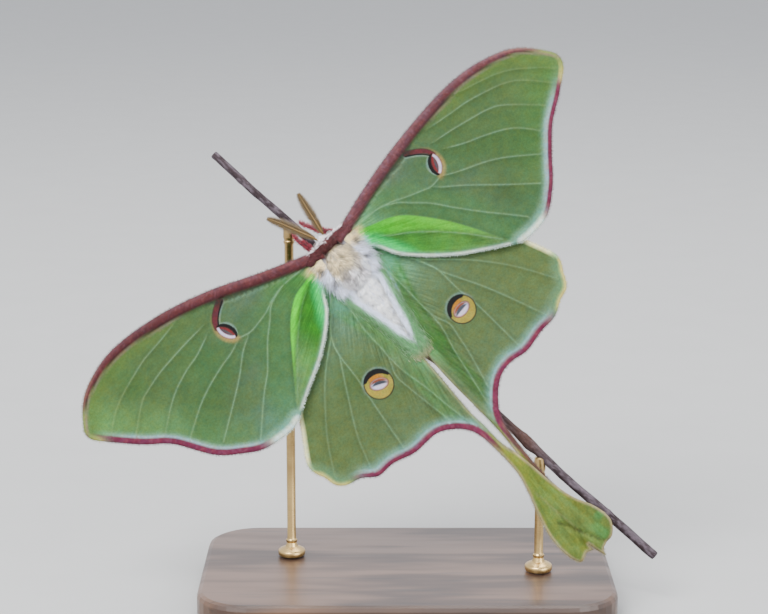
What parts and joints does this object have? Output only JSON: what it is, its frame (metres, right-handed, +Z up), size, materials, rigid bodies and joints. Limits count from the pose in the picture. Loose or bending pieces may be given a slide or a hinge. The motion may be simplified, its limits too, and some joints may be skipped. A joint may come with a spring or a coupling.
{
  "type": "luna moth",
  "caption": "Luna moth at life size, wings spread and long hindwing tails hanging, on a short cut twig held by a small display stand.",
  "frame": {"origin": "middle of the underside of the whole model's box, on the surface that it stands on", "axes": "+Z up, -Y toward the viewer who sees the moth's back, +X to that viewer's right"},
  "size_m": [0.0984, 0.044, 0.096],
  "materials": {
    "white_fur": "soft short fur, off-white with a lavender cast",
    "maroon_fur": "dense maroon scales and fur",
    "crimson_fur": "short crimson fur",
    "eye": "dark, faceted and glossy",
    "antenna": "golden brown, matt",
    "forewing": "grey-green scales on a thin membrane, satin",
    "hindwing": "yellow-green scales on a thin membrane, satin",
    "bark": "smooth grey-brown young bark",
    "walnut": "oiled dark wood, satin",
    "brass_rod": "brushed and lacquered"
  },
  "bodies": {
    "root": {"abdomen": "white_fur", "antenna_left": "antenna", "antenna_right": "antenna", "eye_left": "eye", "eye_right": "eye", "foreleg_left": "crimson_fur", "foreleg_right": "crimson_fur", "forewing_left": "forewing", "forewing_right": "forewing", "head": "white_fur", "hindleg_left": "crimson_fur", "hindleg_right": "crimson_fur", "hindwing_left": "hindwing", "hindwing_right": "hindwing", "midleg_left": "crimson_fur", "midleg_right": "crimson_fur", "perch": "bark", "prothorax": "maroon_fur", "stand_base": "walnut", "stand_rod_lower": "brass_rod", "stand_rod_upper": "brass_rod", "thorax": "white_fur"}
  },
  "joints": []
}
